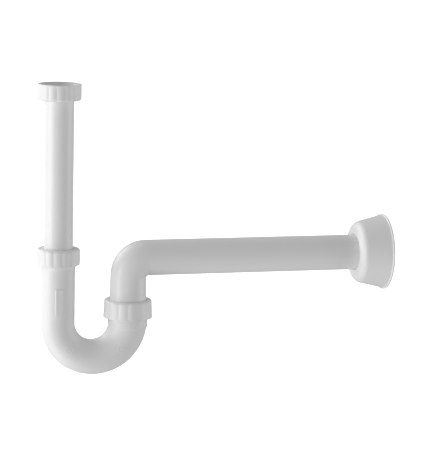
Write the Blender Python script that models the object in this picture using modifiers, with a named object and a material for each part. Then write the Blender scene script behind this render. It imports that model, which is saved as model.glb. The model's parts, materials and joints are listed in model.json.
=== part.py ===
"""White plastic P trap for a wash basin, with a plain outlet pipe and a wall rosette.

Run with: blender --background --python part.py

Metres, +Z up. The inlet pipe stands on the Z axis and the outlet runs along +X to the wall. The origin is
on the inlet axis, on the top face of the washer that seals against the basin waste.
"""

import math

import bmesh
import bpy

MM = 0.001

# Clearance kept between neighbouring pieces.
GAP = 0.3 * MM

# Where the pieces sit. Heights are measured from the basin seal.
OUTLET_Z = -184.0 * MM  # axis of the outlet pipe
SLIP_NUT_TOP_Z = -170.7 * MM
OUTLET_NUT_TOP_Z = -230.5 * MM
BEND_Z = -255.3 * MM  # centre of the U
LEG_SPACING = 79.0 * MM  # inlet axis to outlet leg axis
WALL_X = 378.0 * MM  # plane that the rosette closes against

# Inlet pipe, 32 mm, with the flange that the inlet nut pulls up.
INLET_R = 16.0 * MM
INLET_WALL = 1.8 * MM
INLET_END_Z = -226.0 * MM
INLET_BEVEL = 1.0 * MM
FLANGE_R = 19.2 * MM
FLANGE_THICK = 2.0 * MM
WASHER_THICK = 2.5 * MM

# Outlet pipe, 40 mm, in one piece with its elbow.
OUTLET_R = 20.0 * MM
OUTLET_WALL = 2.0 * MM
ELBOW_R = 21.0 * MM  # centre line
CORNER_SWELL = 0.8 * MM  # how much fuller the elbow is at the middle of its turn
SPIGOT_FLARE = 0.6 * MM  # how much wider the elbow's leg is where it meets the nut
FLARE_Z = -231.0 * MM  # where that wider part starts, just inside the nut
PIPE_RECESS = 1.0 * MM  # pipe's end, short of the wall plane

# Nuts. The thread radii are pitch radii, G 1 1/4 at the inlet and G 1 1/2 at the outlet.
FLUTES = 16
FLUTE_DEPTH = 0.6 * MM
NUT_FLOOR = 2.5 * MM
NUT_EDGE = 2.5 * MM  # rounding at the closed end
NUT_LIP = 1.2 * MM  # bevel outside the mouth
NUT_MOUTH_DEPTH = 2.0 * MM
THREAD_PLAY = 0.4 * MM
SMALL_NUT_R = 24.0 * MM
SMALL_NUT_HEIGHT = 18.0 * MM
SMALL_THREAD_R = 20.2 * MM
SMALL_MOUTH_R = 22.0 * MM
LARGE_NUT_R = 26.9 * MM
LARGE_NUT_HEIGHT = 20.2 * MM
LARGE_NUT_DRAFT = 0.8 * MM
LARGE_THREAD_R = 23.16 * MM
LARGE_MOUTH_R = 25.0 * MM
NUT_HOLE_PLAY = 0.4 * MM

# Slip rings and seals, which lie on top of each other under a slip nut's floor.
SLIP_RING_THICK = 1.2 * MM
SEAL_RIM = 2.2 * MM  # height of a seal above its cone
SEAL_CONE = 4.0 * MM  # height of a seal's cone
INLET_RIM_R = 19.3 * MM  # outside of the ring and of the seal
OUTLET_RIM_R = 22.66 * MM
RING_DROP = NUT_FLOOR + GAP  # top of a slip ring, below the top of its nut
SEAL_DROP = RING_DROP + SLIP_RING_THICK + GAP
MOUTH_DROP = SEAL_DROP + SEAL_RIM + GAP  # mouth of the socket

# The bend and its sockets.
LEG_R = 18.7 * MM
BEND_R = 19.8 * MM  # at the bottom of the U
BEND_END_R = 21.6 * MM  # where the U meets the outlet socket
BEND_WALL = 2.0 * MM
SOCKET_EDGE = 0.5 * MM  # bevel at a socket's mouth
SOCKET_SINK = 0.4 * MM  # how far a socket's lower end lies inside the tube's wall
INLET_TAPER = (0.8 * MM, 4.4 * MM)  # start and end of the inlet socket's taper, below the nut
COLLAR_R = 22.2 * MM
COLLAR_TAPER = 0.7 * MM
COLLAR_BOTTOM_Z = -261.0 * MM
COLLAR_FILLET = 1.7 * MM
SHOULDER_Z = -256.5 * MM  # step that the outlet spigot stands on
OUTLET_BORE_R = 20.9 * MM
INLET_SEAT = (19.0 * MM, 16.9 * MM)  # radius of a conical seat at its mouth and at its bottom
OUTLET_SEAT = (22.0 * MM, OUTLET_BORE_R)

# Wall rosette.
RIM_R = 43.5 * MM
RIM_THICK = 2.0 * MM
ROSETTE_DEPTH = 35.0 * MM
ROSETTE_WALL = 1.8 * MM
FACE_R = 28.3 * MM
SHOULDER = ((31.6 * MM, 33.6 * MM), (34.9 * MM, 30.2 * MM))  # rounding, as (radius, height) points
CONE_TOP = (36.3 * MM, 25.5 * MM)
CONE_FOOT_R = 41.9 * MM

# Facets.
ROUND_STEPS = 32
FLUTE_STEPS = 3  # steps in each flute of a nut
ROSETTE_STEPS = 48
BEND_STEPS = 20
ELBOW_STEPS = 10
BORE_BEVEL = 10
TUBE_BEVEL = 14

MERGE = 0.01 * MM  # distance under which points are joined
CUT_OVER = 5.0 * MM  # how far a cutter runs past what it cuts


def clear_scene():
    for old in list(bpy.data.objects):
        bpy.data.objects.remove(old, do_unlink=True)


def collection(name):
    made = bpy.data.collections.new(name)
    bpy.context.scene.collection.children.link(made)
    return made


def finish(name, colour, roughness):
    """A plain Principled material."""
    made = bpy.data.materials.new(name)
    made.use_nodes = True
    shader = made.node_tree.nodes["Principled BSDF"]
    shader.inputs["Base Color"].default_value = (*colour, 1.0)
    shader.inputs["Roughness"].default_value = roughness
    shader.inputs["Metallic"].default_value = 0.0
    made.diffuse_color = (*colour, 1.0)
    return made


def evaluated_mesh(obj):
    graph = bpy.context.evaluated_depsgraph_get()
    graph.update()
    return bpy.data.meshes.new_from_object(obj.evaluated_get(graph))


def turned(name, outline, home, steps=ROUND_STEPS, closed=True):
    """Turn an outline of (radius, height) points round Z. It runs down the outer side first.

    An outline that isn't closed starts and ends on the axis.
    """
    count = len(outline)
    edges = [(i, i + 1) for i in range(count - 1)]
    if closed:
        edges.append((count - 1, 0))
    mesh = bpy.data.meshes.new(name)
    mesh.from_pydata([(radius, 0.0, height) for radius, height in outline], edges, [])
    obj = bpy.data.objects.new(name, mesh)
    home.objects.link(obj)
    screw = obj.modifiers.new("turn", "SCREW")
    screw.angle = math.tau
    screw.steps = screw.render_steps = steps
    screw.use_merge_vertices = True
    screw.merge_threshold = MERGE
    screw.use_smooth_shade = True
    return obj


def swept(name, points, home, bevel):
    """A round bar along (x, z, radius) points in the plane of the trap, as a closed mesh."""
    curve = bpy.data.curves.new(name, "CURVE")
    curve.dimensions = "3D"
    curve.twist_mode = "MINIMUM"
    curve.bevel_depth = points[0][2]
    curve.bevel_resolution = bevel
    curve.use_fill_caps = True
    spline = curve.splines.new("POLY")
    spline.points.add(len(points) - 1)
    for spot, (x, z, radius) in zip(spline.points, points):
        spot.co = (x, 0.0, z, 1.0)
        spot.radius = radius / curve.bevel_depth
    guide = bpy.data.objects.new(name + "_path", curve)
    home.objects.link(guide)
    mesh = evaluated_mesh(guide)
    edit = bmesh.new()
    edit.from_mesh(mesh)
    bmesh.ops.remove_doubles(edit, verts=edit.verts, dist=MERGE)
    edit.to_mesh(mesh)
    edit.free()
    mesh.shade_smooth()
    obj = bpy.data.objects.new(name, mesh)
    obj.matrix_world = guide.matrix_world
    home.objects.link(obj)
    bpy.data.objects.remove(guide, do_unlink=True)
    return obj


def tool(obj):
    """Marks a helper that only cuts or joins."""
    obj.hide_render = True
    obj.display_type = "WIRE"
    return obj


def boolean(obj, other, operation):
    step = obj.modifiers.new(other.name, "BOOLEAN")
    step.operation = operation
    step.solver = "EXACT"
    step.object = tool(other)


def arc(centre_x, centre_z, radius, first, last, steps):
    """Points on a circle in the XZ plane, at angles in degrees from +X towards +Z."""
    turns = [math.radians(first + (last - first) * i / steps) for i in range(steps + 1)]
    return [(centre_x + radius * math.cos(a), centre_z + radius * math.sin(a)) for a in turns]


def nut(name, radius, height, draft, thread_r, mouth_r, hole_r, home):
    """A fluted union nut, with its closed end up at Z = 0 and its mouth down."""
    bore_r = thread_r + THREAD_PLAY
    outline = [
        (radius - NUT_EDGE, 0.0),
        (radius - 0.3 * NUT_EDGE, -0.3 * NUT_EDGE),
        (radius, -NUT_EDGE),
        (radius + draft, NUT_LIP - height),
        (radius + draft - NUT_LIP, -height),
        (mouth_r, -height),
        (mouth_r, NUT_MOUTH_DEPTH - height),
        (bore_r, NUT_MOUTH_DEPTH + mouth_r - bore_r - height),
        (bore_r, -NUT_FLOOR),
        (hole_r, -NUT_FLOOR),
        (hole_r, 0.0),
    ]
    blank = turned(name + "_blank", outline, home, FLUTES * FLUTE_STEPS)
    mesh = evaluated_mesh(blank)
    bpy.data.objects.remove(blank, do_unlink=True)
    fluted_from = (mouth_r + radius) / 2
    for vertex in mesh.vertices:
        reach = math.hypot(vertex.co.x, vertex.co.y)
        if reach < fluted_from:
            continue
        along = (math.atan2(vertex.co.y, vertex.co.x) / math.tau * FLUTES) % 1.0
        pull = 1 - FLUTE_DEPTH * (2 * along - 1) ** 2 / reach
        vertex.co.x *= pull
        vertex.co.y *= pull
    mesh.shade_smooth()
    mesh.set_sharp_from_angle(angle=math.radians(30))
    mesh.name = name
    obj = bpy.data.objects.new(name, mesh)
    home.objects.link(obj)
    return obj


def ring(name, inner_r, outer_r, top, thick, home):
    outline = [(outer_r, top), (outer_r, top - thick), (inner_r, top - thick), (inner_r, top)]
    return turned(name, outline, home)


def cone_seal(name, inner_r, rim_r, seat_r, seat_end_r, top, home):
    """A rubber ring with a cone below its rim, which lies in the seat of a socket's mouth."""
    rim_bottom = top - SEAL_RIM
    outline = [
        (rim_r, top),
        (rim_r, rim_bottom),
        (seat_r - GAP, rim_bottom),
        (seat_end_r - GAP, rim_bottom - SEAL_CONE),
        (inner_r, rim_bottom - SEAL_CONE),
        (inner_r, top),
    ]
    return turned(name, outline, home)


def place(obj, x, z):
    obj.location = (x, 0.0, z)
    return obj


def inlet_pipe(home):
    top = -WASHER_THICK - GAP
    inner_r = INLET_R - INLET_WALL
    outline = [
        (FLANGE_R, top),
        (FLANGE_R, top - FLANGE_THICK),
        (INLET_R, top - FLANGE_THICK),
        (INLET_R, INLET_END_Z + INLET_BEVEL),
        (INLET_R - 0.6 * INLET_BEVEL, INLET_END_Z),
        (inner_r, INLET_END_Z),
        (inner_r, top),
    ]
    return turned("inlet_pipe", outline, home)


def inlet_washer(home):
    return ring("inlet_washer", INLET_R - INLET_WALL + GAP, FLANGE_R, 0.0, WASHER_THICK, home)


def small_nut(name, home):
    hole_r = INLET_R + NUT_HOLE_PLAY
    return nut(name, SMALL_NUT_R, SMALL_NUT_HEIGHT, 0.0, SMALL_THREAD_R, SMALL_MOUTH_R, hole_r, home)


def inlet_nut(home):
    """The nut that pulls the flange up to the basin waste, so its mouth faces up."""
    obj = small_nut("inlet_nut", home)
    obj.rotation_euler = (math.pi, 0.0, 0.0)
    return place(obj, 0.0, -WASHER_THICK - FLANGE_THICK - 2 * GAP - NUT_FLOOR)


def inlet_slip_nut(home):
    return place(small_nut("inlet_slip_nut", home), 0.0, SLIP_NUT_TOP_Z)


def outlet_nut(home):
    hole_r = OUTLET_R + SPIGOT_FLARE + NUT_HOLE_PLAY
    obj = nut(
        "outlet_nut",
        LARGE_NUT_R,
        LARGE_NUT_HEIGHT,
        LARGE_NUT_DRAFT,
        LARGE_THREAD_R,
        LARGE_MOUTH_R,
        hole_r,
        home,
    )
    return place(obj, LEG_SPACING, OUTLET_NUT_TOP_Z)


def inlet_slip_ring(home):
    obj = ring("inlet_slip_ring", INLET_R + GAP, INLET_RIM_R, 0.0, SLIP_RING_THICK, home)
    return place(obj, 0.0, SLIP_NUT_TOP_Z - RING_DROP)


def outlet_slip_ring(home):
    """It clears the wider part of the elbow's leg, over which it lifts with its nut."""
    inner_r = OUTLET_R + SPIGOT_FLARE + GAP
    obj = ring("outlet_slip_ring", inner_r, OUTLET_RIM_R, 0.0, SLIP_RING_THICK, home)
    return place(obj, LEG_SPACING, OUTLET_NUT_TOP_Z - RING_DROP)


def inlet_seal(home):
    obj = cone_seal("inlet_seal", INLET_R + GAP, INLET_RIM_R, *INLET_SEAT, 0.0, home)
    return place(obj, 0.0, SLIP_NUT_TOP_Z - SEAL_DROP)


def outlet_seal(home):
    obj = cone_seal("outlet_seal", OUTLET_R + GAP, OUTLET_RIM_R, *OUTLET_SEAT, 0.0, home)
    return place(obj, LEG_SPACING, OUTLET_NUT_TOP_Z - SEAL_DROP)


def trap_path(leg_r, bottom_r, end_r, top_z, end_z):
    """The U's centre line, from the inlet leg's top to the outlet leg's top, with its radius."""
    half = LEG_SPACING / 2
    quarter = BEND_STEPS // 2
    points = [(0.0, top_z, leg_r)]
    for i, (x, z) in enumerate(arc(half, BEND_Z, half, 180, 360, BEND_STEPS)):
        if i < quarter:
            radius = leg_r + (bottom_r - leg_r) * i / quarter
        else:
            radius = bottom_r + (end_r - bottom_r) * (i - quarter) / quarter
        points.append((x, z, radius))
    points.append((LEG_SPACING, end_z, end_r))
    return points


def socket_mouth(name, mouth_z, seat, bottom, tools):
    """Cuts a socket's conical seat, then down to bottom, a (radius, height) pair."""
    seat_r, seat_end_r = seat
    slope = (seat_r - seat_end_r) / SEAL_CONE
    outline = [
        (0.0, mouth_z + CUT_OVER),
        (seat_r + slope * CUT_OVER, mouth_z + CUT_OVER),
        (seat_end_r, mouth_z - SEAL_CONE),
        bottom,
        (0.0, bottom[1]),
    ]
    return turned(name, outline, tools, closed=False)


def trap_bend(home, tools):
    """The U with its two threaded sockets, bored through."""
    inlet_mouth_z = SLIP_NUT_TOP_Z - MOUTH_DROP
    outlet_mouth_z = OUTLET_NUT_TOP_Z - MOUTH_DROP
    inside = 4.0 * MM
    path = trap_path(LEG_R, BEND_R, BEND_END_R, inlet_mouth_z - inside, outlet_mouth_z - inside)
    obj = swept("trap_bend", path, home, TUBE_BEVEL)

    shoulder_z = SLIP_NUT_TOP_Z - SMALL_NUT_HEIGHT
    taper_start, taper_end = INLET_TAPER
    outline = [
        (0.0, inlet_mouth_z),
        (SMALL_THREAD_R - SOCKET_EDGE, inlet_mouth_z),
        (SMALL_THREAD_R, inlet_mouth_z - SOCKET_EDGE),
        (SMALL_THREAD_R, shoulder_z - taper_start),
        (LEG_R - SOCKET_SINK, shoulder_z - taper_end),
        (0.0, shoulder_z - taper_end),
    ]
    boolean(obj, turned("inlet_socket", outline, tools, closed=False), "UNION")

    shoulder_z = OUTLET_NUT_TOP_Z - LARGE_NUT_HEIGHT
    outline = [
        (0.0, outlet_mouth_z),
        (LARGE_THREAD_R - SOCKET_EDGE, outlet_mouth_z),
        (LARGE_THREAD_R, outlet_mouth_z - SOCKET_EDGE),
        (LARGE_THREAD_R, shoulder_z),
        (COLLAR_R, shoulder_z - COLLAR_TAPER),
        (COLLAR_R, COLLAR_BOTTOM_Z),
        (BEND_END_R - 2 * SOCKET_SINK, COLLAR_BOTTOM_Z - COLLAR_FILLET),
        (0.0, COLLAR_BOTTOM_Z - COLLAR_FILLET),
    ]
    socket = turned("outlet_socket", outline, tools, closed=False)
    boolean(obj, place(socket, LEG_SPACING, 0.0), "UNION")

    radii = [radius - BEND_WALL for radius in (LEG_R, BEND_R, BEND_END_R)]
    bore = trap_path(*radii, inlet_mouth_z + CUT_OVER, SHOULDER_Z + CUT_OVER)
    boolean(obj, swept("trap_bore", bore, tools, BORE_BEVEL), "DIFFERENCE")

    bore_r = LEG_R - BEND_WALL
    step_z = inlet_mouth_z - SEAL_CONE - 1.0 * MM
    mouth = socket_mouth(
        "inlet_mouth", inlet_mouth_z, INLET_SEAT, (bore_r - 2 * SOCKET_SINK, step_z), tools
    )
    boolean(obj, mouth, "DIFFERENCE")
    mouth = socket_mouth(
        "outlet_mouth", outlet_mouth_z, OUTLET_SEAT, (OUTLET_BORE_R, SHOULDER_Z), tools
    )
    boolean(obj, place(mouth, LEG_SPACING, 0.0), "DIFFERENCE")
    return obj


def elbow_path(radius, leg, start_z, end_x):
    """The outlet's centre line, from the spigot's end to the pipe's end, with its radius."""
    points = [(LEG_SPACING, start_z, radius)] + leg
    corner = arc(LEG_SPACING + ELBOW_R, OUTLET_Z - ELBOW_R, ELBOW_R, 180, 90, ELBOW_STEPS)
    for i, (x, z) in enumerate(corner):
        points.append((x, z, radius + CORNER_SWELL * math.sin(math.pi * i / ELBOW_STEPS)))
    points.append((end_x, OUTLET_Z, radius))
    return points


def outlet_bend(home, tools):
    """Elbow and outlet pipe in one piece. The visible part of the leg widens a little towards the nut."""
    spigot_z = SHOULDER_Z + GAP
    end_x = WALL_X - PIPE_RECESS
    leg = [
        (LEG_SPACING, FLARE_Z - GAP, OUTLET_R),
        (LEG_SPACING, FLARE_Z, OUTLET_R + SPIGOT_FLARE),
    ]
    obj = swept("outlet_bend", elbow_path(OUTLET_R, leg, spigot_z, end_x), home, TUBE_BEVEL)
    bore = elbow_path(OUTLET_R - OUTLET_WALL, [], spigot_z - CUT_OVER, end_x + CUT_OVER)
    boolean(obj, swept("outlet_bore", bore, tools, BORE_BEVEL), "DIFFERENCE")
    return obj


def wall_rosette(home):
    """The cover over the hole in the wall, turned about the outlet pipe. Heights run out from the wall."""
    outer = [
        (FACE_R, ROSETTE_DEPTH),
        *SHOULDER,
        CONE_TOP,
        (CONE_FOOT_R, RIM_THICK),
        (RIM_R - 0.5 * MM, RIM_THICK),
        (RIM_R, RIM_THICK / 2),
        (RIM_R, 0.0),
    ]
    hole_r = OUTLET_R + GAP
    inside_z = ROSETTE_DEPTH - ROSETTE_WALL
    round_r, round_z = SHOULDER[-1]
    inner = [
        (CONE_FOOT_R - ROSETTE_WALL, 0.0),
        (CONE_TOP[0] - ROSETTE_WALL, CONE_TOP[1] - 0.5 * MM),
        (round_r - ROSETTE_WALL, round_z - 1.4 * MM),
        (FACE_R, inside_z - 0.4 * MM),
        (hole_r, inside_z),
        (hole_r, ROSETTE_DEPTH),
    ]
    obj = turned("wall_rosette", outer + inner, home, ROSETTE_STEPS)
    obj.rotation_euler = (0.0, -math.pi / 2, 0.0)
    return place(obj, WALL_X, OUTLET_Z)


def main():
    clear_scene()
    parts = collection("p_trap")
    tools = collection("tools")
    white = finish("white_plastic", (0.86, 0.86, 0.86), 0.3)
    nylon = finish("slip_ring_plastic", (0.75, 0.75, 0.72), 0.4)
    rubber = finish("seal_rubber", (0.04, 0.04, 0.04), 0.7)
    pieces = [
        (inlet_nut(parts), white),
        (inlet_washer(parts), rubber),
        (inlet_pipe(parts), white),
        (inlet_slip_nut(parts), white),
        (inlet_slip_ring(parts), nylon),
        (inlet_seal(parts), rubber),
        (trap_bend(parts, tools), white),
        (outlet_nut(parts), white),
        (outlet_slip_ring(parts), nylon),
        (outlet_seal(parts), rubber),
        (outlet_bend(parts, tools), white),
        (wall_rosette(parts), white),
    ]
    for obj, look in pieces:
        own = look.copy()
        own.name = obj.name
        obj.data.materials.append(own)


main()
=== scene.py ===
"""Finished pieces of a white plastic basin P trap, built round its packed frame.

It is laid out as an add-on and run as a script. Lengths are in metres and +Z is up. The inlet pipe stands
on the Z axis and the outlet runs along +X to the wall. Heights and places come from the frame's nodes, so
each finished piece lies where its node does.
"""

import json
import math
from functools import partialmethod

import bpy
import numpy as np
from bpy.props import FloatProperty, FloatVectorProperty, IntProperty, PointerProperty
from mathutils import Matrix, Vector

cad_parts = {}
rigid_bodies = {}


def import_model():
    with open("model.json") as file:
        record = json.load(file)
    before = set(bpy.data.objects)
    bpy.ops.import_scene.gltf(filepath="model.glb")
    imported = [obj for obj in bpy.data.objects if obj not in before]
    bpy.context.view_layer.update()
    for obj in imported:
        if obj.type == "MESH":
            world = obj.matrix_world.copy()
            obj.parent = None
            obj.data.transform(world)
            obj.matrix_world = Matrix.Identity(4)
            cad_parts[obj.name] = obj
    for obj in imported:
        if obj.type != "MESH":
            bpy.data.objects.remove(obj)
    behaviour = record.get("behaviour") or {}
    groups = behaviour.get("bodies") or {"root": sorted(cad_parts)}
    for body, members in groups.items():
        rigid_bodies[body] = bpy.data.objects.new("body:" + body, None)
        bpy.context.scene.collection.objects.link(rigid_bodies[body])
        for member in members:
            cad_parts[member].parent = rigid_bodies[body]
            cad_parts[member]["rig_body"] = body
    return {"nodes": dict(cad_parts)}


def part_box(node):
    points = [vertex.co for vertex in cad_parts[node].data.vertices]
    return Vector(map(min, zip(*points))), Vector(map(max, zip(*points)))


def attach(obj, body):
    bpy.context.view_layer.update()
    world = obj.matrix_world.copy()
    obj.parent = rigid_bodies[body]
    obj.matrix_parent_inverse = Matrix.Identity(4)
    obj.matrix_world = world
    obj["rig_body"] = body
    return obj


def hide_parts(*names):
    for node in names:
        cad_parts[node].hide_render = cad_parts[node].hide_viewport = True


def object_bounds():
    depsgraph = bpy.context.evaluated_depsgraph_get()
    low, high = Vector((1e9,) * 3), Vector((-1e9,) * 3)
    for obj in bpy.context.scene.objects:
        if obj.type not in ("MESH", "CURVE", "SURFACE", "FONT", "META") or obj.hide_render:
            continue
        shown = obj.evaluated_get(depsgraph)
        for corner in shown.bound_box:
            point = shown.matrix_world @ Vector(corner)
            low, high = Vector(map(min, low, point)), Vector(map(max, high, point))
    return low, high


bl_info = {
    "name": "P Trap Finish",
    "version": (1, 0, 0),
    "blender": (4, 5, 0),
    "location": "3D View > Sidebar > P Trap",
    "description": "Builds the finished pieces of a white plastic basin trap round its packed frame",
    "category": "Object",
}

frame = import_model()
FRAME_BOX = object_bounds()

MM = 0.001
TURN = math.tau

# Roundings of moulded edges.
CRISP = 0.2 * MM
BROKEN = 0.3 * MM
EASED = 0.4 * MM
SOFT = 0.5 * MM

# Two lengths closer than this count as the same one.
NEAR = 0.1 * MM

# Steps round a nut's grip, a small ring, the inlet pipe and the larger bodies.
AROUND_LOBE = 14
AROUND_RING = 128
AROUND_INLET = 160
AROUND_BODY = 192

# Steps of the outline over one turn of thread.
THREAD_STEPS = 9

# Steps along the bend's outline over its pad, collar and marks.
PAD_STEP = 0.22 * MM
COLLAR_STEP = 0.32 * MM
MARK_STEP = 0.45 * MM

# How far below their radius points of the tube and of the socket still count as on the outside.
TUBE_SKIN = 0.5 * MM
SOCKET_SKIN = 0.35 * MM

# How far the collar draws in over its fillet, and where the pad's end lips stand and how they slope.
COLLAR_SINK = 1.6 * MM
LIP_INSET = 0.7 * MM
LIP_SLOPE = 0.5 * MM
LIP_FULL = 1.4

# Where the round marks lie on the U, in degrees from its inlet end, and the shape of their ring and dot.
MARK_ANGLES = (42.0, 137.5)
MARK_BAND = 0.8 * MM
MARK_DOT = 1.6 * MM
MARK_DOT_SLOPE = 0.6 * MM

# How far round each nut's grips are turned, in degrees.
INLET_NUT_TURN = 5.0
INLET_SLIP_NUT_TURN = 0.0
OUTLET_NUT_TURN = 10.5

# How finely small and large fillets are divided, and how far from a fillet its next point lies.
FILLET_STEP = math.radians(15)
LARGE_FILLET = 1.4 * MM
LARGE_FILLET_STEP = math.radians(6)
EDGE_KEEP = 0.25 * MM


def low(node):
    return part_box(node)[0]


def high(node):
    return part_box(node)[1]


def middle_x(node):
    return (low(node).x + high(node).x) / 2


# ------------------------ properties


def length(name, text, millimetres):
    return FloatProperty(
        name=name, description=text, default=millimetres * MM, min=0.0, precision=5, unit="LENGTH"
    )


def share(name, text, value):
    return FloatProperty(name=name, description=text, default=value, min=0.0, max=1.0, subtype="FACTOR")


def colour(name, text, value):
    return FloatVectorProperty(
        name=name, description=text, default=value, size=3, min=0.0, max=1.0, subtype="COLOR"
    )


class PTrapPipes(bpy.types.PropertyGroup):
    """Sizes of the two pipes."""

    inlet_r: length("Inlet radius", "Outer radius of the inlet pipe", 16.0)
    inlet_wall: length("Inlet wall", "Wall thickness of the inlet pipe", 1.8)
    flange: length("Flange", "Thickness of the inlet pipe's flange", 2.0)
    outlet_r: length("Outlet radius", "Outer radius of the outlet pipe", 20.0)
    outlet_wall: length("Outlet wall", "Wall thickness of the outlet pipe", 2.0)
    elbow_r: length("Elbow radius", "Radius of the elbow's centre line", 21.0)
    corner_swell: length("Corner swell", "How much fuller the elbow is half way round", 0.8)
    flare: length("Leg flare", "How much wider the elbow's leg is where it enters the nut", 0.6)
    flare_drop: length("Flare depth", "How far below the nut's top the wider leg starts", 0.5)


class PTrapNuts(bpy.types.PropertyGroup):
    """Sizes of the union nuts, their threads and what lies in them."""

    lobes: IntProperty(name="Lobes", description="Grips round a nut", default=16, min=3, max=40)
    lobe_depth: length("Groove depth", "Depth of the grooves between the grips", 0.6)
    floor: length("Floor", "Thickness of a nut's closed end", 2.5)
    edge: length("Edge", "Rounding of a nut's closed end", 2.6)
    hole_play: length("Hole play", "Room between a nut's hole and the pipe in it", 0.4)
    mouth_depth: length("Mouth depth", "Plain stretch inside a nut's mouth", 2.0)
    small_mouth_r: length("Small mouth", "Radius inside the mouth of the two small nuts", 22.0)
    large_mouth_r: length("Large mouth", "Radius inside the mouth of the large nut", 25.0)
    small_thread_r: length("Small thread", "Pitch radius of the 1 1/4 inch pipe thread", 20.2)
    large_thread_r: length("Large thread", "Pitch radius of the 1 1/2 inch pipe thread", 23.16)
    pitch: length("Pitch", "Pitch of both threads, 11 turns to the inch", 2.309)
    thread_height: length("Thread height", "Half the height of a thread's ridge", 0.42)
    thread_play: length("Thread play", "Room between an outer and an inner thread", 0.5)
    large_draft: length("Draft", "How much wider the large nut is at its mouth", 0.8)


class PTrapBend(bpy.types.PropertyGroup):
    """Sizes of the bend and its sockets."""

    leg_r: length("Leg radius", "Outer radius of the inlet leg", 18.7)
    bottom_r: length("Bottom radius", "Outer radius at the bottom of the U", 19.8)
    end_r: length("End radius", "Outer radius where the U meets the outlet socket", 21.6)
    wall: length("Wall", "Wall thickness of the bend", 2.0)
    taper_start: length("Taper start", "Start of the inlet socket's taper, below the nut", 0.8)
    taper_end: length("Taper end", "End of the inlet socket's taper, below the nut", 4.4)
    collar_r: length("Collar radius", "Radius of the collar below the outlet nut", 22.2)
    collar_height: length("Collar height", "Height of that collar", 9.6)
    collar_fillet: length("Collar fillet", "Height of the fillet below the collar", 1.7)
    seat_mouth: length("Seat width", "How much narrower a seat's mouth is than the thread", 1.18)
    seat_cone: length("Seat depth", "Depth of a socket's conical seat", 4.0)
    spigot_play: length("Spigot play", "Room round the spigot in the outlet socket", 0.9)
    spigot_step: length("Spigot step", "Gap between the spigot's end and the step it stands on", 0.3)
    pad_left: length("Pad left", "Reach of the inlet leg's flat pad to the left", 5.9)
    pad_right: length("Pad right", "Reach of that pad to the right", 2.6)
    pad_height: length("Pad height", "Height of that pad", 27.4)
    pad_drop: length("Pad place", "Top of the pad, below the slip nut", 25.3)
    pad_rise: length("Pad rise", "How far the pad stands out of the leg", 0.1)
    pad_lip: length("Pad lip", "Height of the lips at the pad's two ends", 0.55)
    mark_r: length("Mark radius", "Radius of the round moulding marks", 3.9)
    mark_rise: length("Mark rise", "Height of the moulding marks", 0.36)
    seam: length("Parting line", "Height of the mould's parting line", 0.1)


class PTrapRosette(bpy.types.PropertyGroup):
    """Sizes of the wall rosette."""

    wall: length("Wall", "Wall thickness of the rosette", 1.8)
    fit: length("Fit", "Room between the rosette's hole and the pipe", 0.35)
    top_r: length("Top radius", "Radius where the cone would meet the face", 34.05)
    foot_r: length("Foot radius", "Radius of the cone at the rim", 41.9)
    round_r: length("Shoulder", "Radius of the shoulder's rounding", 9.0)
    rim: length("Rim", "Thickness of the rim", 2.0)


class PTrapFinish(bpy.types.PropertyGroup):
    """Colours and finish of the plastics and the rubber."""

    white: colour("White", "Colour of the white plastic", (0.84, 0.84, 0.84))
    white_rough: share("White roughness", "Roughness of the moulded white plastic", 0.42)
    pipe_rough: share("Pipe roughness", "Roughness of the smoother pipe walls", 0.36)
    nylon: colour("Nylon", "Colour of the slip rings", (0.72, 0.71, 0.66))
    rubber: colour("Rubber", "Colour of the seals and the washer", (0.025, 0.025, 0.027))
    tone: share("Tone", "How much the white varies over a piece", 0.02)


class PTrapStage(bpy.types.PropertyGroup):
    """Floor, light and camera."""

    floor_drop: length("Floor drop", "Depth of the floor below the trap", 60.0)
    room: share("Room light", "Brightness of the even light from all round", 0.4)
    key_power: FloatProperty(
        name="Key", description="Power of the key lamp on the left", default=32.0, min=0.0, unit="POWER"
    )
    lamp_side: FloatProperty(
        name="Lamp side", description="Side of every lamp", default=1.6, min=0.1, unit="LENGTH"
    )
    lamp_far: FloatProperty(
        name="Lamp distance", description="How far every lamp stands", default=2.5, min=0.5, unit="LENGTH"
    )
    yaw: FloatProperty(
        name="Yaw", description="Camera turn to the right", default=math.radians(15.0), subtype="ANGLE"
    )
    tilt: FloatProperty(
        name="Tilt", description="Camera tilt downwards", default=math.radians(9.9), subtype="ANGLE"
    )
    roll: FloatProperty(name="Roll", description="Camera roll", default=math.radians(1.3), subtype="ANGLE")
    distance: FloatProperty(
        name="Distance", description="Camera to the point it looks at", default=2.15, min=0.1, unit="LENGTH"
    )
    target: FloatVectorProperty(
        name="Target",
        description="The point that the camera looks at",
        default=(0.181, 0.008, -0.1545),
        size=3,
        subtype="TRANSLATION",
    )
    lens: FloatProperty(name="Lens", description="Focal length in millimetres", default=150.4, min=1.0)


# The soft lamps: degrees round from the camera (left is negative), degrees up, share of the key's power.
LAMPS = {
    "key_lamp": (-65, 0, 1.0),
    "rim_lamp": (-120, 30, 3 / 4),
    "bounce_lamp": (-60, -50, 1 / 2),
    "fill_lamp": (90, 0, 1 / 2),
}


GROUPS = {
    "p_trap_pipes": PTrapPipes,
    "p_trap_nuts": PTrapNuts,
    "p_trap_bend": PTrapBend,
    "p_trap_rosette": PTrapRosette,
    "p_trap_finish": PTrapFinish,
    "p_trap_stage": PTrapStage,
}


# ------------------------ node maths


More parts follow.
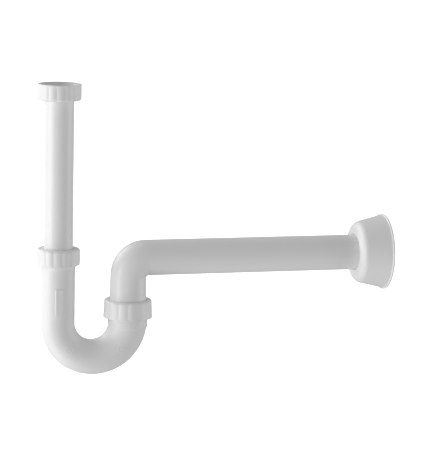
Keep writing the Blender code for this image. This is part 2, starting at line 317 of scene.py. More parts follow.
class Number:
    """A socket that holds a number. Python's operators on it add Math nodes to its tree."""

    def __init__(self, graph, socket):
        self.graph = graph
        self.socket = socket

    def maths(self, operation, *others):
        values = dict(enumerate((self, *others)))
        return self.graph.node("ShaderNodeMath", {"operation": operation}, values)["Value"]

    def reflected(self, operation, other):
        values = {0: other, 1: self}
        return self.graph.node("ShaderNodeMath", {"operation": operation}, values)["Value"]

    __add__ = partialmethod(maths, "ADD")
    __radd__ = partialmethod(reflected, "ADD")
    __sub__ = partialmethod(maths, "SUBTRACT")
    __rsub__ = partialmethod(reflected, "SUBTRACT")
    __mul__ = partialmethod(maths, "MULTIPLY")
    __rmul__ = partialmethod(reflected, "MULTIPLY")
    __truediv__ = partialmethod(maths, "DIVIDE")
    __rtruediv__ = partialmethod(reflected, "DIVIDE")
    __mod__ = partialmethod(maths, "MODULO")
    __abs__ = partialmethod(maths, "ABSOLUTE")

    def between(self, lowest, highest):
        return self.maths("MAXIMUM", lowest).maths("MINIMUM", highest)


class Made:
    """A node's outputs, by name or number."""

    def __init__(self, graph, node):
        self.graph = graph
        self.made = node

    def __getitem__(self, key):
        return Number(self.graph, self.made.outputs[key])


class Graph:
    """Adds nodes to one tree, for geometry or for a material."""

    def __init__(self, tree):
        self.tree = tree

    def node(self, kind, settings=None, values=None):
        made = self.tree.nodes.new(kind)
        for name, setting in (settings or {}).items():
            setattr(made, name, setting)
        for name, value in (values or {}).items():
            if isinstance(value, Number):
                self.tree.links.new(value.socket, made.inputs[name])
            else:
                made.inputs[name].default_value = value
        return Made(self, made)


# ------------------------ shells by rule


SHELL_INPUTS = {
    "Outline": "NodeSocketObject",
    "Path": "NodeSocketObject",
    "Around": "NodeSocketInt",
    "Lobes": "NodeSocketInt",
    "Lobe Depth": "NodeSocketFloat",
    "Lobe Turn": "NodeSocketFloat",
    "Thread Pitch": "NodeSocketFloat",
    "Thread Height": "NodeSocketFloat",
    "Seam Height": "NodeSocketFloat",
    "Seam Width": "NodeSocketFloat",
    "Material": "NodeSocketMaterial",
}


def shell_tree():
    """Geometry nodes that carry a closed outline along a path and round it, as one closed shell.

    The path lies in a plane of constant Y. An outline point at (radius, 0, along) becomes a ring of that
    radius, at that distance along the path. The outline's attributes say how much of the lobes, the
    thread and the parting line each of its points takes.
    """
    tree = bpy.data.node_groups.new("shell_along_a_path", "GeometryNodeTree")
    for name, kind in SHELL_INPUTS.items():
        tree.interface.new_socket(name=name, in_out="INPUT", socket_type=kind)
    tree.interface.new_socket(name="Geometry", in_out="OUTPUT", socket_type="NodeSocketGeometry")
    graph = Graph(tree)
    given = graph.node("NodeGroupInput")
    around = given["Around"]

    outline = graph.node("GeometryNodeObjectInfo", None, {"Object": given["Outline"]})["Geometry"]
    path = graph.node("GeometryNodeObjectInfo", None, {"Object": given["Path"]})["Geometry"]
    count = graph.node("GeometryNodeAttributeDomainSize", None, {"Geometry": outline})["Point Count"]

    def whole(operation, first, second):
        values = {0: first, 1: second}
        return graph.node("FunctionNodeIntegerMath", {"operation": operation}, values)["Value"]

    sheet = graph.node(
        "GeometryNodeMeshGrid",
        None,
        {"Vertices X": whole("ADD", count, 1), "Vertices Y": whole("ADD", around, 1)},
    )["Mesh"]
    index = graph.node("GeometryNodeInputIndex")["Index"]
    columns = whole("ADD", around, 1)
    column = whole("MODULO", index, columns)
    row = whole("MODULO", whole("DIVIDE_FLOOR", index, columns), count)

    def outline_value(kind, field):
        settings = {"data_type": kind, "domain": "POINT"}
        values = {"Geometry": outline, "Value": field, "Index": row}
        return graph.node("GeometryNodeSampleIndex", settings, values)["Value"]

    def weight(name):
        field = graph.node("GeometryNodeInputNamedAttribute", {"data_type": "FLOAT"}, {"Name": name})
        return outline_value("FLOAT", field["Attribute"])

    place = outline_value("FLOAT_VECTOR", graph.node("GeometryNodeInputPosition")["Position"])
    place = graph.node("ShaderNodeSeparateXYZ", None, {0: place})
    radius = place["X"]
    spot = graph.node(
        "GeometryNodeSampleCurve", {"mode": "LENGTH"}, {"Curves": path, "Length": place["Z"]}
    )
    centre = graph.node("ShaderNodeSeparateXYZ", None, {0: spot["Position"]})
    along = graph.node("ShaderNodeSeparateXYZ", None, {0: spot["Tangent"]})
    angle = column * TURN / around

    def on_ring(distance):
        """The point at that distance from the path, square to it, at this column's angle."""
        out = distance * angle.maths("COSINE")
        x = centre["X"] + out * along["Z"]
        y = centre["Y"] + distance * angle.maths("SINE")
        return x, y, centre["Z"] - out * along["X"]

    lobe = (angle * given["Lobes"] / TURN + given["Lobe Turn"]) % 1 * 2 - 1
    lobed = radius - given["Lobe Depth"] * lobe * lobe * weight("lobe")
    x, y, z = on_ring(radius)
    round_leg = y.maths("ARCTAN2", x - centre["X"])
    wave = (z * TURN / given["Thread Pitch"] - round_leg).maths("COSINE")
    threaded = lobed + given["Thread Height"] * (wave * 1.6).between(-1, 1) * weight("thread")
    from_seam = abs(angle.maths("SINE")) * radius / given["Seam Width"]
    ridge = (1 - from_seam).maths("MAXIMUM", 0.0)
    x, y, z = on_ring(threaded + given["Seam Height"] * ridge * weight("seam"))

    point = graph.node("ShaderNodeCombineXYZ", None, {"X": x, "Y": y, "Z": z})["Vector"]
    shell = graph.node("GeometryNodeSetPosition", None, {"Geometry": sheet, "Position": point})
    shell = graph.node(
        "GeometryNodeMergeByDistance", None, {"Geometry": shell["Geometry"], "Distance": 1e-6}
    )
    shell = graph.node("GeometryNodeFlipFaces", None, {"Mesh": shell["Geometry"]})
    shell = graph.node("GeometryNodeSetShadeSmooth", None, {"Geometry": shell["Mesh"]})
    shell = graph.node("GeometryNodeRealizeInstances", None, {"Geometry": shell["Geometry"]})
    values = {"Geometry": shell["Geometry"], "Material": given["Material"]}
    shell = graph.node("GeometryNodeSetMaterial", None, values)
    graph.node("NodeGroupOutput", None, {"Geometry": shell["Geometry"]})
    return tree


def rounded(corners):
    """A closed outline through corners, each (radius, along, fillet), with an arc at each corner."""
    points = []
    for i, (radius, along, fillet) in enumerate(corners):
        here = Vector((radius, along))
        back = (here - Vector(corners[i - 1][:2])).normalized()
        onward = (Vector(corners[(i + 1) % len(corners)][:2]) - here).normalized()
        bend = math.atan2(back.cross(onward), back.dot(onward))
        if fillet == 0 or abs(bend) < FILLET_STEP / 4:
            points.append(here)
            continue
        step_angle = LARGE_FILLET_STEP if fillet > LARGE_FILLET else FILLET_STEP
        steps = max(2, math.ceil(abs(bend) / step_angle))
        start = here - back * fillet * math.tan(abs(bend) / 2)
        spoke = Vector((back.y, -back.x)) * math.copysign(fillet, bend)
        for step in range(steps + 1):
            turned = Matrix.Rotation(bend * step / steps, 2) @ spoke
            points.append(start - spoke + turned)
    return points


def divided(points, spacing):
    """The outline with more points on its long stretches. spacing gives the widest step at a place."""
    found = []
    for i, start in enumerate(points):
        end = points[(i + 1) % len(points)]
        found.append(start)
        stretch = end - start
        if stretch.length < 4 * EDGE_KEEP:
            continue
        keep = EDGE_KEEP / stretch.length
        at = keep
        while at < 1 - keep:
            found.append(start + stretch * at)
            at += spacing(found[-1]) / stretch.length
            if 1 - keep - at < 0.4 * spacing(found[-1]) / stretch.length:
                break
        found.append(start + stretch * (1 - keep))
    return found


def fade(value, start, end):
    """0 at start and 1 at end, with a smooth rise between them."""
    t = min(1.0, max(0.0, (value - start) / (end - start)))
    return t * t * (3 - 2 * t)


def window(value, start, rise, end, fall):
    """Rises from 0 to 1 after start, over rise, and falls back to 0 before end, over fall."""
    return fade(value, start, start + rise) * (1 - fade(value, end - fall, end))


def nothing(point):
    return 0.0


def scratch_object(name, data):
    made = bpy.data.objects.new(name, data)
    bpy.context.scene.collection.objects.link(made)
    return made


def outline_object(points, weights):
    mesh = bpy.data.meshes.new("outline")
    mesh.from_pydata([(point.x, 0.0, point.y) for point in points], [], [])
    for name in ("lobe", "thread", "seam"):
        rule = weights.get(name, nothing)
        layer = mesh.attributes.new(name, "FLOAT", "POINT")
        layer.data.foreach_set("value", [rule(point) for point in points])
    return scratch_object("outline", mesh)


def path_object(points):
    curve = bpy.data.curves.new("path", "CURVE")
    curve.dimensions = "3D"
    spline = curve.splines.new("POLY")
    spline.points.add(len(points) - 1)
    for spot, (x, y, z) in zip(spline.points, points):
        spot.co = (x, y, z, 1.0)
    return scratch_object("path", curve)


def line(start, direction, reach):
    """A straight path."""
    start, direction = Vector(start), Vector(direction)
    return [start + direction * reach * part for part in (0.0, 0.5, 1.0)]


def bow(centre, radius, first, last):
    """A path's arc in the XZ plane, from one angle in degrees to another, with a point at each degree."""
    count = round(abs(last - first))
    angles = [math.radians(first + (last - first) * i / count) for i in range(count + 1)]
    return [(centre[0] + radius * math.cos(a), 0.0, centre[1] + radius * math.sin(a)) for a in angles]


def plain_copy(obj):
    """The object's mesh as its modifiers leave it."""
    graph = bpy.context.evaluated_depsgraph_get()
    graph.update()
    return bpy.data.meshes.new_from_object(obj.evaluated_get(graph))


def shell(name, points, path, material, around, weights=None, **sizes):
    """Makes one shell from an outline and a path, and returns its object with no modifier left."""
    tree = bpy.data.node_groups.get("shell_along_a_path") or shell_tree()
    helpers = [outline_object(points, weights or {}), path_object(path)]
    given = {
        "Outline": helpers[0],
        "Path": helpers[1],
        "Around": around,
        "Lobes": 1,
        "Lobe Depth": 0.0,
        "Lobe Turn": 0.0,
        "Thread Pitch": 1.0,
        "Thread Height": 0.0,
        "Seam Height": 0.0,
        "Seam Width": 1.0,
        "Material": material,
    }
    given.update({key.replace("_", " ").title(): value for key, value in sizes.items()})
    blank = scratch_object(name + "_blank", bpy.data.meshes.new("blank"))
    modifier = blank.modifiers.new("shell", "NODES")
    modifier.node_group = tree
    for item in tree.interface.items_tree:
        if item.in_out == "INPUT":
            modifier[item.identifier] = given[item.name]
    mesh = plain_copy(blank)
    if len(mesh.polygons) < len(points) * around:
        raise RuntimeError(f"{name}: {len(mesh.polygons)} faces are fewer than the outline asks for")
    mesh.name = name
    for helper in (blank, *helpers):
        bpy.data.objects.remove(helper, do_unlink=True)
    return scratch_object(name, mesh)


def settle(obj, node):
    """Puts a finished piece in its node's place: it rides on that node's body."""
    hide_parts(node)
    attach(obj, frame["nodes"][node]["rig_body"])
    return obj


# ------------------------ finishes


class Finish(Graph):
    """A new material's tree, with its Principled shader and the piece's own coordinates."""

    def __init__(self, name, rgb):
        self.material = bpy.data.materials.new(name)
        self.material.use_nodes = True
        self.material.diffuse_color = (*rgb, 1.0)
        super().__init__(self.material.node_tree)
        self.shader = self.material.node_tree.nodes["Principled BSDF"]
        self.place = self.node("ShaderNodeTexCoord")["Object"]

    def stretched(self, scale):
        """The piece's coordinates, scaled along each axis."""
        return self.node("ShaderNodeMapping", None, {"Vector": self.place, "Scale": scale})["Vector"]

    def noise(self, size, detail=2.0, vector=None, rough=0.5):
        """Noise whose lumps are about that size in metres, as a number from 0 to 1."""
        values = {"Vector": vector or self.place, "Scale": 1 / size, "Detail": detail, "Roughness": rough}
        return self.node("ShaderNodeTexNoise", None, values)["Fac"]

    def mixed(self, factor, first, second):
        """A colour between two others."""
        settings = {"data_type": "RGBA", "blend_type": "MIX"}
        values = {"Factor": factor, 6: first, 7: second}
        return self.node("ShaderNodeMix", settings, values)[2]

    def bump(self, height, distance, strength=1.0):
        values = {"Height": height, "Distance": distance, "Strength": strength}
        return self.node("ShaderNodeBump", None, values)["Normal"]

    def finish(self, links):
        for name, value in links.items():
            if isinstance(value, Number):
                self.tree.links.new(value.socket, self.shader.inputs[name])
            else:
                self.shader.inputs[name].default_value = value
        return self.material


def shade(rgb, by):
    return (*[min(1.0, max(0.0, part * by)) for part in rgb], 1.0)


def white_plastic(name, roughness, draw=(1.0, 1.0, 1.0)):
    """Satin white polypropylene. draw stretches the fine lines along the way the plastic was drawn."""
    settings = bpy.context.scene.p_trap_finish
    made = Finish(name, settings.white)
    cloud = made.noise(0.035, 3.0)
    drawn = made.noise(0.0016, 3.0, made.stretched(draw))
    grain = made.noise(0.00045, 2.0)
    orange_peel = made.noise(0.004, 1.0)
    handled = (made.noise(0.012, 5.0, rough=0.62) * 3 - 1.45).between(0, 1)
    tone = cloud * 0.65 + drawn * 0.35
    darker, lighter = (shade(settings.white, 1 + by) for by in (-settings.tone, settings.tone))
    white = made.mixed(tone, darker, lighter)
    rough = roughness - 0.05 + grain * 0.06 + drawn * 0.04 + handled * 0.07
    height = grain * 0.35 + drawn * 0.3 + orange_peel * 0.5
    return made.finish(
        {
            "Base Color": white,
            "Roughness": rough.between(0.05, 1),
            "Normal": made.bump(height, 0.012 * MM),
            "IOR": 1.49,
        }
    )


def slip_nylon():
    """Off-white nylon with a fine dull grain."""
    settings = bpy.context.scene.p_trap_finish
    made = Finish("slip_nylon", settings.nylon)
    cloud = made.noise(0.008, 3.0)
    grain = made.noise(0.0004, 3.0)
    nylon = made.mixed(cloud, shade(settings.nylon, 0.93), shade(settings.nylon, 1.05))
    return made.finish(
        {
            "Base Color": nylon,
            "Roughness": 0.42 + grain * 0.16,
            "Normal": made.bump(grain, 0.02 * MM),
        }
    )


def seal_rubber():
    """Matt black rubber with a grey bloom and a pitted skin."""
    settings = bpy.context.scene.p_trap_finish
    made = Finish("seal_rubber", settings.rubber)
    bloom = (made.noise(0.006, 5.0, rough=0.65) * 2.4 - 0.8).between(0, 1)
    pits = made.noise(0.0006, 4.0)
    rubber = made.mixed(bloom, shade(settings.rubber, 1.0), shade(settings.rubber, 1.9))
    return made.finish(
        {
            "Base Color": rubber,
            "Roughness": 0.6 + bloom * 0.18 + pits * 0.08,
            "Normal": made.bump(pits, 0.04 * MM),
        }
    )


def finish_of(name, make, *values):
    """A material by name, made the first time that it is asked for."""
    return bpy.data.materials.get(name) or make(*values)


def nut_white():
    rough = bpy.context.scene.p_trap_finish.white_rough
    return finish_of("white_nut", white_plastic, "white_nut", rough, (1.0, 1.0, 0.25))


def bend_white():
    rough = bpy.context.scene.p_trap_finish.white_rough
    return finish_of("white_bend", white_plastic, "white_bend", rough)


# ------------------------ pieces


class PTrapPiece(bpy.types.Operator):
    """What the operators of the pieces share."""

    bl_options = {"REGISTER", "UNDO"}

    def execute(self, context):
        scene = context.scene
        self.pipes = scene.p_trap_pipes
        self.nuts = scene.p_trap_nuts
        self.bend = scene.p_trap_bend
        self.rosette = scene.p_trap_rosette
        self.make()
        return {"FINISHED"}


def nut_points(nuts, radius, height, draft, thread_r, mouth_r, hole_r):
    """A union nut's outline, from its closed end at 0 to its mouth, and its attributes."""
    bore_r = thread_r + nuts.thread_play - nuts.thread_height / 2
    mouth = height - nuts.mouth_depth
    corners = [
        (hole_r, 0.0, BROKEN),
        (radius, 0.0, nuts.edge),
        (radius + draft, height, 0.7 * MM),
        (mouth_r, height, 0.35 * MM),
        (mouth_r, mouth, CRISP),
        (bore_r, mouth - (mouth_r - bore_r), CRISP),
        (bore_r, nuts.floor, SOFT),
        (hole_r, nuts.floor, BROKEN),
    ]

    def spacing(point):
        threaded = bore_r - NEAR < point.x < mouth_r - NEAR
        return nuts.pitch / THREAD_STEPS if threaded else 2.2 * MM

    def lobe(point):
        outside = fade(point.x, mouth_r, mouth_r + 0.6 * (radius - mouth_r))
        return outside * (1 - fade(point.y, height - 1.6 * MM, height - 0.7 * MM))

    def thread(point):
        if abs(point.x - bore_r) > NEAR:
            return 0.0
        start, end = nuts.floor + 1.0 * MM, mouth - (mouth_r - bore_r) - 0.3 * MM
        return window(point.y, start, 1.2 * MM, end, 1.2 * MM)

    return divided(rounded(corners), spacing), {"lobe": lobe, "thread": thread}


class PTrapNutsMake(PTrapPiece):
    """Make the three lobed union nuts, with the threads inside them"""

    bl_idname = "p_trap.nuts"
    bl_label = "Union nuts"

    def nut(self, node, closed_z, direction, axis_x, draft, thread_r, mouth_r, hole_r, lobe_turn):
        nuts = self.nuts
        lowest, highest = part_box(node)
        height = highest.z - lowest.z
        radius = self.radius(node) - draft
        points, weights = nut_points(nuts, radius, height, draft, thread_r, mouth_r, hole_r)
        obj = shell(
            node + "_moulding",
            points,
            line((axis_x, 0.0, closed_z), (0.0, 0.0, direction), height),
            nut_white(),
            nuts.lobes * AROUND_LOBE,
            weights,
            lobes=nuts.lobes,
            lobe_depth=nuts.lobe_depth,
            lobe_turn=(-direction * lobe_turn * nuts.lobes / 360) % 1,
            thread_pitch=nuts.pitch,
            thread_height=nuts.thread_height,
        )
        settle(obj, node)

    @staticmethod
    def radius(node):
        """The widest reach of the node's own vertices from its axis."""
        lowest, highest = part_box(node)
        axis = (lowest + highest) / 2
        mesh = frame["nodes"][node].data
        return max(math.hypot(v.co.x - axis.x, v.co.y - axis.y) for v in mesh.vertices)

    def make(self):
        nuts, pipes = self.nuts, self.pipes
        small = (0.0, 0.0, nuts.small_thread_r, nuts.small_mouth_r, pipes.inlet_r + nuts.hole_play)
        large_hole_r = pipes.outlet_r + pipes.flare + nuts.hole_play
        leg_x = middle_x("outlet_slip_ring")
        large = (leg_x, nuts.large_draft, nuts.large_thread_r, nuts.large_mouth_r, large_hole_r)
        self.nut("inlet_nut", low("inlet_nut").z, 1.0, *small, INLET_NUT_TURN)
        self.nut("inlet_slip_nut", high("inlet_slip_nut").z, -1.0, *small, INLET_SLIP_NUT_TURN)
        self.nut("outlet_nut", high("outlet_nut").z, -1.0, *large, OUTLET_NUT_TURN)


class PTrapInlet(PTrapPiece):
    """Make the inlet pipe with its flange"""

    bl_idname = "p_trap.inlet_pipe"
    bl_label = "Inlet pipe"

    def make(self):
        pipes = self.pipes
        bottom, top = low("inlet_pipe").z, high("inlet_pipe").z
        height = top - bottom
        inner_r = pipes.inlet_r - pipes.inlet_wall
        corners = [
            (inner_r, 0.0, BROKEN),
            (pipes.inlet_r, 0.0, 0.9 * MM),
            (pipes.inlet_r, height - pipes.flange, EASED),
            (high("inlet_pipe").x, height - pipes.flange, EASED),
            (high("inlet_pipe").x, height, EASED),
            (inner_r, height, EASED),
        ]
        points = divided(rounded(corners), lambda point: 7.0 * MM)
        white = white_plastic("white_inlet_pipe", bpy.context.scene.p_trap_finish.pipe_rough, (1, 1, 0.03))
        path = line((0.0, 0.0, bottom), (0.0, 0.0, 1.0), height)
        settle(shell("inlet_pipe_moulding", points, path, white, AROUND_INLET), "inlet_pipe")


class PTrapSeals(PTrapPiece):
    """Make the washer, the two slip rings and the two conical seals"""

    bl_idname = "p_trap.seals"
    bl_label = "Washer, slip rings and seals"

    def ring(self, node, inner_r, material, slot, seat=None):
        """A ring of the node's own height and width. seat gives a seal's (mouth, end) radii and depth."""
        lowest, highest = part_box(node)
        axis_x = (lowest.x + highest.x) / 2
        height = highest.z - lowest.z
        outer_r = (highest.x - lowest.x) / 2
        if seat:
            mouth_r, end_r, depth = seat
            corners = [
                (inner_r, 0.0, BROKEN),
                (end_r, 0.0, EASED),
                (mouth_r, depth, BROKEN),
                (outer_r, depth, BROKEN),
                (outer_r, height, SOFT),
                (inner_r, height, EASED),
            ]
        else:
            corners = [
                (inner_r, 0.0, BROKEN),
                (outer_r, 0.0, BROKEN),
                (outer_r, height, BROKEN),
                (inner_r, height, BROKEN),
            ]
        points = divided(rounded(corners), lambda point: 0.7 * MM)
        path = line((axis_x, 0.0, lowest.z), (0.0, 0.0, 1.0), height)
        settle(shell(node + "_finished", points, path, material, AROUND_RING), node)

    def make(self):
        pipes, bend, nuts = self.pipes, self.bend, self.nuts
        nylon = finish_of("slip_nylon", slip_nylon)
        rubber = finish_of("seal_rubber", seal_rubber)
        gap = bend.spigot_step
        self.ring("inlet_washer", pipes.inlet_r - pipes.inlet_wall + gap, rubber, "seal_rubber")
        self.ring("inlet_slip_ring", pipes.inlet_r + gap, nylon, "slip_ring_plastic")
        outlet_ring_r = pipes.outlet_r + pipes.flare + gap
        self.ring("outlet_slip_ring", outlet_ring_r, nylon, "slip_ring_plastic")
        inlet_seat = (nuts.small_thread_r - bend.seat_mouth - gap, pipes.inlet_r + 2 * gap, bend.seat_cone)
        outlet_seat = (nuts.large_thread_r - bend.seat_mouth - gap, pipes.outlet_r + 2 * gap, bend.seat_cone)
        self.ring("inlet_seal", pipes.inlet_r + gap, rubber, "seal_rubber", inlet_seat)
        self.ring("outlet_seal", pipes.outlet_r + gap, rubber, "seal_rubber", outlet_seat)


class PTrapBendMake(PTrapPiece):
    """Make the U bend with its threaded sockets, its pad, marks and parting line"""

    bl_idname = "p_trap.bend"
    bl_label = "Bend"

    def make(self):
        bend, nuts, pipes = self.bend, self.nuts, self.pipes
        leg_x = middle_x("outlet_seal")
        half = leg_x / 2
        self.centre = (half, low("trap_bend").z + half + bend.bottom_r)
        bend_z = self.centre[1]
        gap = bend.spigot_step
        inlet_mouth = high("trap_bend").z
        cone_z = low("outlet_seal").z + bend.seat_cone
        outlet_mouth = cone_z - gap
        self.collar_top = low("outlet_nut").z - 0.7 * MM

        start = inlet_mouth - bend_z
        arc = math.pi * half
        bottom = start + arc / 2
        arc_end = start + arc
        total = arc_end + outlet_mouth - bend_z
        path = [
            (0.0, 0.0, inlet_mouth),
            *bow(self.centre, half, 180, 360),
            (leg_x, 0.0, outlet_mouth),
        ]

        def down(z):
            """Distance along the path of a height in the inlet leg."""
            return inlet_mouth - z

        def up(z):
            """Distance along the path of a height in the outlet socket."""
            return total - (outlet_mouth - z)

        inlet_r = nuts.small_thread_r - nuts.thread_height / 2
        outlet_r = nuts.large_thread_r - nuts.thread_height / 2
        shoulder = low("inlet_slip_nut").z
        step_z = low("outlet_bend").z - gap
        bore_r = pipes.outlet_r + bend.spigot_play
        step_turn = math.atan((bend_z - step_z) / (half - bore_r))
        step_along = arc_end - half * step_turn
        small_bore = bend.leg_r - bend.wall
        corners = [
            (inlet_r, 0.0, SOFT),
            (inlet_r, down(shoulder - bend.taper_start), SOFT),
            (bend.leg_r, down(shoulder - bend.taper_end), 1.5 * MM),
            (bend.leg_r, start, 0.0),
            (bend.bottom_r, bottom, 0.0),
            (bend.end_r, arc_end, 0.0),
            (bend.collar_r, up(self.collar_top) - 1.0 * MM, 0.0),
            (bend.collar_r, up(self.collar_top), BROKEN),
            (outlet_r, up(low("outlet_nut").z), BROKEN),
            (outlet_r, total, SOFT),
            (nuts.large_thread_r - bend.seat_mouth, total, CRISP),
            (bore_r, total - bend.seat_cone, BROKEN),
            (bore_r, step_along, CRISP),
            (bend.end_r - bend.wall, step_along, BROKEN),
            (bend.bottom_r - bend.wall, bottom, 0.0),
            (small_bore, start, 0.0),
            (small_bore, bend.seat_cone + 1.0 * MM, BROKEN),
            (small_bore + 0.2 * MM, bend.seat_cone, BROKEN),
            (nuts.small_thread_r - bend.seat_mouth, 0.0, CRISP),
        ]
        pad_top = shoulder - bend.pad_drop
        self.pad = (pad_top - bend.pad_height, pad_top)
        mark_places = [start + math.radians(angle) * half for angle in MARK_ANGLES]
        collar_low = up(self.collar_top) - bend.collar_height

        def spacing(point):
            along = point.y
            if along < bottom:
                inside = point.x < bend.leg_r - bend.wall / 2
            else:
                inside = point.x < bend.bottom_r - bend.wall / 3
            if inside and start - 1 * MM < along < arc_end + 1 * MM:
                return 2.4 * MM
            if inside:
                return 5.0 * MM
            if along < down(shoulder) + 1 * MM or along > up(low("outlet_nut").z) - 0.3 * MM:
                return nuts.pitch / THREAD_STEPS
            if abs(along - collar_low) < 5 * MM:
                return COLLAR_STEP
            if any(abs(along - place) < bend.mark_r + 1.5 * MM for place in mark_places):
                return MARK_STEP
            if any(abs(along - down(z)) < 1.4 * MM for z in self.pad):
                return PAD_STEP
            return 1.5 * MM if along > start - 1 * MM else 4.0 * MM

        def thread(point):
            if abs(point.x - inlet_r) < NEAR and point.y < start:
                return window(point.y, 0.6 * MM, 1.2 * MM, down(shoulder) - 0.2 * MM, 1.5 * MM)
            if abs(point.x - outlet_r) < NEAR and point.y > arc_end:
                first = up(low("outlet_nut").z) + 0.3 * MM
                return window(point.y, first, 1.5 * MM, total - 0.6 * MM, 1.2 * MM)
            return 0.0

        def seam(point):
            outside = fade(point.x, bend.leg_r - 0.3 * MM, bend.leg_r - 0.2 * MM)
            begun = fade(point.y, down(shoulder), down(shoulder) + 2 * MM)
            return outside * begun * (1 - fade(point.y, collar_low - 4 * MM, collar_low - 2 * MM))

        obj = shell(
            "trap_bend_moulding",
            divided(rounded(corners), spacing),
            path,
            bend_white(),
            AROUND_BODY,
            {"thread": thread, "seam": seam},
            thread_pitch=nuts.pitch,
            thread_height=nuts.thread_height,
            seam_height=bend.seam,
            seam_width=0.6 * MM,
        )
        self.press(obj.data, leg_x)
        settle(obj, "trap_bend")

    def press(self, mesh, leg_x):
        """Presses the collar, the flat pad and the round marks into the outside of the tube."""
        bend = self.bend
        half = leg_x / 2
        points = np.empty(len(mesh.vertices) * 3)
        mesh.vertices.foreach_get("co", points)
        points = points.reshape(-1, 3)
        x, y, z = points.T
        centre_x, centre_z = self.centre
        reach = np.hypot(x - centre_x, z - centre_z)
        in_arc = np.hypot(reach - half, y)
        in_leg = np.hypot(np.where(x < half, x, x - leg_x), y)
        from_path = np.where(z < centre_z, in_arc, in_leg)
        outside = from_path > bend.leg_r - TUBE_SKIN
        socket_outside = from_path > bend.end_r - SOCKET_SKIN

        collar_low = self.collar_top - bend.collar_height
        t = np.clip((collar_low - z) / bend.collar_fillet, 0, 1)
        wanted = bend.collar_r - COLLAR_SINK * t * t * (3 - 2 * t)
        axis = np.hypot(x - leg_x, y)
        under = (z < self.collar_top + NEAR) & (z > collar_low - bend.collar_fillet)
        spread = np.where(socket_outside & under & (x > half), np.maximum(1.0, wanted / axis), 1.0)
        points[:, 0] = leg_x + (x - leg_x) * spread
        points[:, 1] = y * spread

        pad_low, pad_high = self.pad
        on_pad = outside & (x > -bend.pad_left) & (x < bend.pad_right) & (y < 0)
        on_pad &= (z > pad_low) & (z < pad_high)
        from_end = np.minimum(z - pad_low, pad_high - z)
        lip = bend.pad_lip * np.clip(LIP_FULL - np.abs(from_end - LIP_INSET) / LIP_SLOPE, 0, 1)
        points[:, 1] = np.where(on_pad, -bend.leg_r - bend.pad_rise - lip, points[:, 1])

        for angle in MARK_ANGLES:
            turn = math.radians(180 + angle)
            mark_x = centre_x + half * math.cos(turn)
            mark_z = centre_z + half * math.sin(turn)
            away = np.hypot(x - mark_x, z - mark_z)
            band = np.clip(1 - np.abs(away - bend.mark_r) / MARK_BAND, 0, 1)
            dot = np.clip((MARK_DOT - away) / MARK_DOT_SLOPE, 0, 1)
            rise = bend.mark_rise * np.maximum(band, dot)
            points[:, 1] -= np.where(outside & (y < 0), rise, 0.0)
        mesh.vertices.foreach_set("co", points.ravel())
        mesh.update()


class PTrapOutlet(PTrapPiece):
    """Make the elbow and the outlet pipe, which are one piece"""

    bl_idname = "p_trap.outlet_pipe"
    bl_label = "Outlet pipe"

    def make(self):
        pipes = self.pipes
        lowest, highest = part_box("outlet_bend")
        leg_x = lowest.x + pipes.outlet_r + pipes.flare
        axis_z = highest.z - pipes.outlet_r
        radius = pipes.elbow_r
        corner = (leg_x + radius, axis_z - radius)
        path = [
            (leg_x, 0.0, lowest.z),
            *bow(corner, radius, 180, 90),
            (highest.x, 0.0, axis_z),
        ]
        rise = corner[1] - lowest.z
        arc = math.pi / 2 * radius
        elbow_end = rise + arc
        total = elbow_end + highest.x - corner[0]
        flare = high("outlet_nut").z - pipes.flare_drop - lowest.z
        inner_r = pipes.outlet_r - pipes.outlet_wall
        swell_steps = 24
        swell = []
        for i in range(1, swell_steps):
            part = i / swell_steps
            fuller = pipes.corner_swell * math.sin(math.pi * part)
            swell.append((fuller, rise + arc * part))
        corners = [
            (inner_r, 0.0, BROKEN),
            (pipes.outlet_r, 0.0, 0.8 * MM),
            (pipes.outlet_r, flare - 0.4 * MM, CRISP),
            (pipes.outlet_r + pipes.flare, flare, CRISP),
            (pipes.outlet_r, rise, 0.0),
            *[(pipes.outlet_r + fuller, along, 0.0) for fuller, along in swell],
            (pipes.outlet_r, elbow_end, 0.0),
            (pipes.outlet_r, total, 0.8 * MM),
            (inner_r, total, BROKEN),
            (inner_r, elbow_end, 0.0),
            *[(inner_r + fuller, along, 0.0) for fuller, along in reversed(swell)],
            (inner_r, rise, 0.0),
        ]

        def spacing(point):
            if rise - 1 * MM < point.y < elbow_end + 1 * MM:
                return 0.7 * MM if point.x > inner_r + 1.2 * MM else 1.6 * MM
            return 3.0 * MM if point.y < rise else 8.0 * MM

        def seam(point):
            outside = fade(point.x, inner_r + 1.6 * MM, inner_r + 1.8 * MM)
            begun = fade(point.y, flare + 1 * MM, flare + 3 * MM)
            return outside * begun * (1 - fade(point.y, elbow_end, elbow_end + 6 * MM))

        white = white_plastic("white_outlet_pipe", bpy.context.scene.p_trap_finish.pipe_rough, (0.03, 1, 1))
        points = divided(rounded(corners), spacing)
        obj = shell(
            "outlet_pipe_moulding",
            points,
            path,
            white,
            AROUND_BODY,
            {"seam": seam},
            seam_height=0.6 * self.bend.seam,
            seam_width=0.7 * MM,
        )
        settle(obj, "outlet_bend")


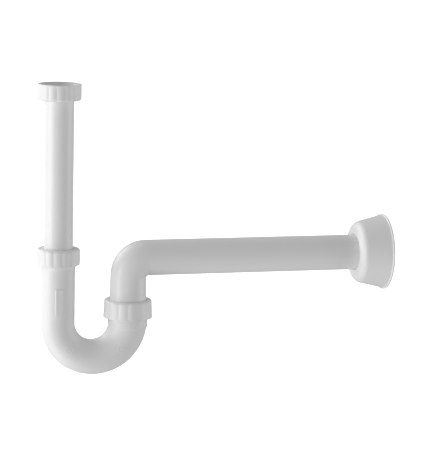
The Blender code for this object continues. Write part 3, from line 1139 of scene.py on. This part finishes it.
class PTrapRosetteMake(PTrapPiece):
    """Make the rosette that covers the hole in the wall"""

    bl_idname = "p_trap.rosette"
    bl_label = "Wall rosette"

    def make(self):
        rosette, pipes = self.rosette, self.pipes
        lowest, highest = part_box("wall_rosette")
        axis_z = (lowest.z + highest.z) / 2
        depth = highest.x - lowest.x
        rim_r = high("wall_rosette").y
        hole_r = pipes.outlet_r + rosette.fit
        inner_top = rosette.top_r - rosette.wall
        corners = [
            (rosette.foot_r - rosette.wall, 0.0, BROKEN),
            (rim_r, 0.0, SOFT),
            (rim_r, rosette.rim, 0.6 * MM),
            (rosette.foot_r, rosette.rim, 0.35 * MM),
            (rosette.top_r, depth, rosette.round_r),
            (hole_r, depth, SOFT),
            (hole_r, depth - rosette.wall, BROKEN),
            (inner_top, depth - rosette.wall, rosette.round_r - rosette.wall),
        ]
        points = divided(rounded(corners), lambda point: 2.0 * MM)
        white = white_plastic("white_rosette", bpy.context.scene.p_trap_finish.white_rough, (0.4, 1, 1))
        path = line((highest.x, 0.0, axis_z), (-1.0, 0.0, 0.0), depth)
        obj = shell("wall_rosette_moulding", points, path, white, AROUND_BODY)
        settle(obj, "wall_rosette")


class PTrapStageMake(bpy.types.Operator):
    """Make the floor, the soft light and the camera"""

    bl_idname = "p_trap.stage"
    bl_label = "Stage"
    bl_options = {"REGISTER", "UNDO"}

    def execute(self, context):
        stage = context.scene.p_trap_stage
        self.floor(stage)
        self.room(stage)
        self.lamps(stage)
        self.camera(stage)
        context.scene.view_settings.view_transform = "Standard"
        context.scene.view_settings.look = "None"
        return {"FINISHED"}

    @staticmethod
    def floor(stage):
        """A pale floor, lit from below like a light table. It is only seen, and casts nothing on the trap."""
        z = FRAME_BOX[0].z - stage.floor_drop
        reach = 40.0
        white = (1.0, 1.0, 1.0, 1.0)
        mesh = bpy.data.meshes.new("pale_floor")
        corners = [(-reach, -reach, z), (reach, -reach, z), (reach, reach, z), (-reach, reach, z)]
        mesh.from_pydata(corners, [], [(0, 1, 2, 3)])
        material = bpy.data.materials.new("pale_floor")
        material.use_nodes = True
        shader = material.node_tree.nodes["Principled BSDF"]
        shader.inputs["Base Color"].default_value = white
        shader.inputs["Roughness"].default_value = 0.9
        shader.inputs["Emission Color"].default_value = white
        shader.inputs["Emission Strength"].default_value = 1.0
        mesh.materials.append(material)
        obj = scratch_object("pale_floor", mesh)
        obj.visible_diffuse = False
        obj.visible_glossy = False
        obj.visible_shadow = False

    @staticmethod
    def room(stage):
        """Even light from all round."""
        world = bpy.data.worlds.new("soft_room")
        world.use_nodes = True
        bpy.context.scene.world = world
        background = world.node_tree.nodes["Background"]
        background.inputs["Color"].default_value = (stage.room, stage.room, stage.room, 1.0)

    @staticmethod
    def lamps(stage):
        """Large soft lamps round the trap, each facing its middle."""
        lowest, highest = FRAME_BOX
        middle = (lowest + highest) / 2
        for name, (around, up, part) in LAMPS.items():
            turn = math.radians(around) - stage.yaw - math.pi / 2
            rise = math.radians(up)
            way = Vector((math.cos(turn) * math.cos(rise), math.sin(turn) * math.cos(rise), math.sin(rise)))
            light = bpy.data.lights.new(name, "AREA")
            light.shape = "SQUARE"
            light.size = stage.lamp_side
            light.energy = part * stage.key_power
            lamp = scratch_object(name, light)
            lamp.location = middle + way * stage.lamp_far
            lamp.rotation_euler = (-way).to_track_quat("-Z", "Y").to_euler()

    @staticmethod
    def camera(stage):
        data = bpy.data.cameras.new("camera")
        data.lens = stage.lens
        camera = scratch_object("camera", data)
        turn = (
            Matrix.Rotation(-stage.yaw, 4, "Z")
            @ Matrix.Rotation(math.pi / 2 - stage.tilt, 4, "X")
            @ Matrix.Rotation(stage.roll, 4, "Z")
        )
        ahead = turn @ Vector((0.0, 0.0, -1.0))
        camera.matrix_world = Matrix.Translation(Vector(stage.target) - ahead * stage.distance) @ turn
        bpy.context.scene.camera = camera


MAKERS = (
    PTrapNutsMake,
    PTrapInlet,
    PTrapSeals,
    PTrapBendMake,
    PTrapOutlet,
    PTrapRosetteMake,
    PTrapStageMake,
)


class PTrapPanel(bpy.types.Panel):
    """Lists what makes the trap's pieces"""

    bl_idname = "VIEW3D_PT_p_trap"
    bl_label = "P Trap"
    bl_space_type = "VIEW_3D"
    bl_region_type = "UI"
    bl_category = "P Trap"

    def draw(self, context):
        for maker in MAKERS:
            self.layout.operator(maker.bl_idname)
        for name, group in GROUPS.items():
            box = self.layout.box()
            settings = getattr(context.scene, name)
            box.label(text=group.__doc__)
            for field in group.__annotations__:
                box.prop(settings, field)


CLASSES = (*GROUPS.values(), *MAKERS, PTrapPanel)


def register():
    for made in CLASSES:
        bpy.utils.register_class(made)
    for name, group in GROUPS.items():
        setattr(bpy.types.Scene, name, PointerProperty(type=group))


def unregister():
    for name in GROUPS:
        delattr(bpy.types.Scene, name)
    for made in reversed(CLASSES):
        bpy.utils.unregister_class(made)


def main():
    register()
    for maker in MAKERS:
        group, name = maker.bl_idname.split(".")
        getattr(getattr(bpy.ops, group), name)()


if __name__ == "__main__":
    main()
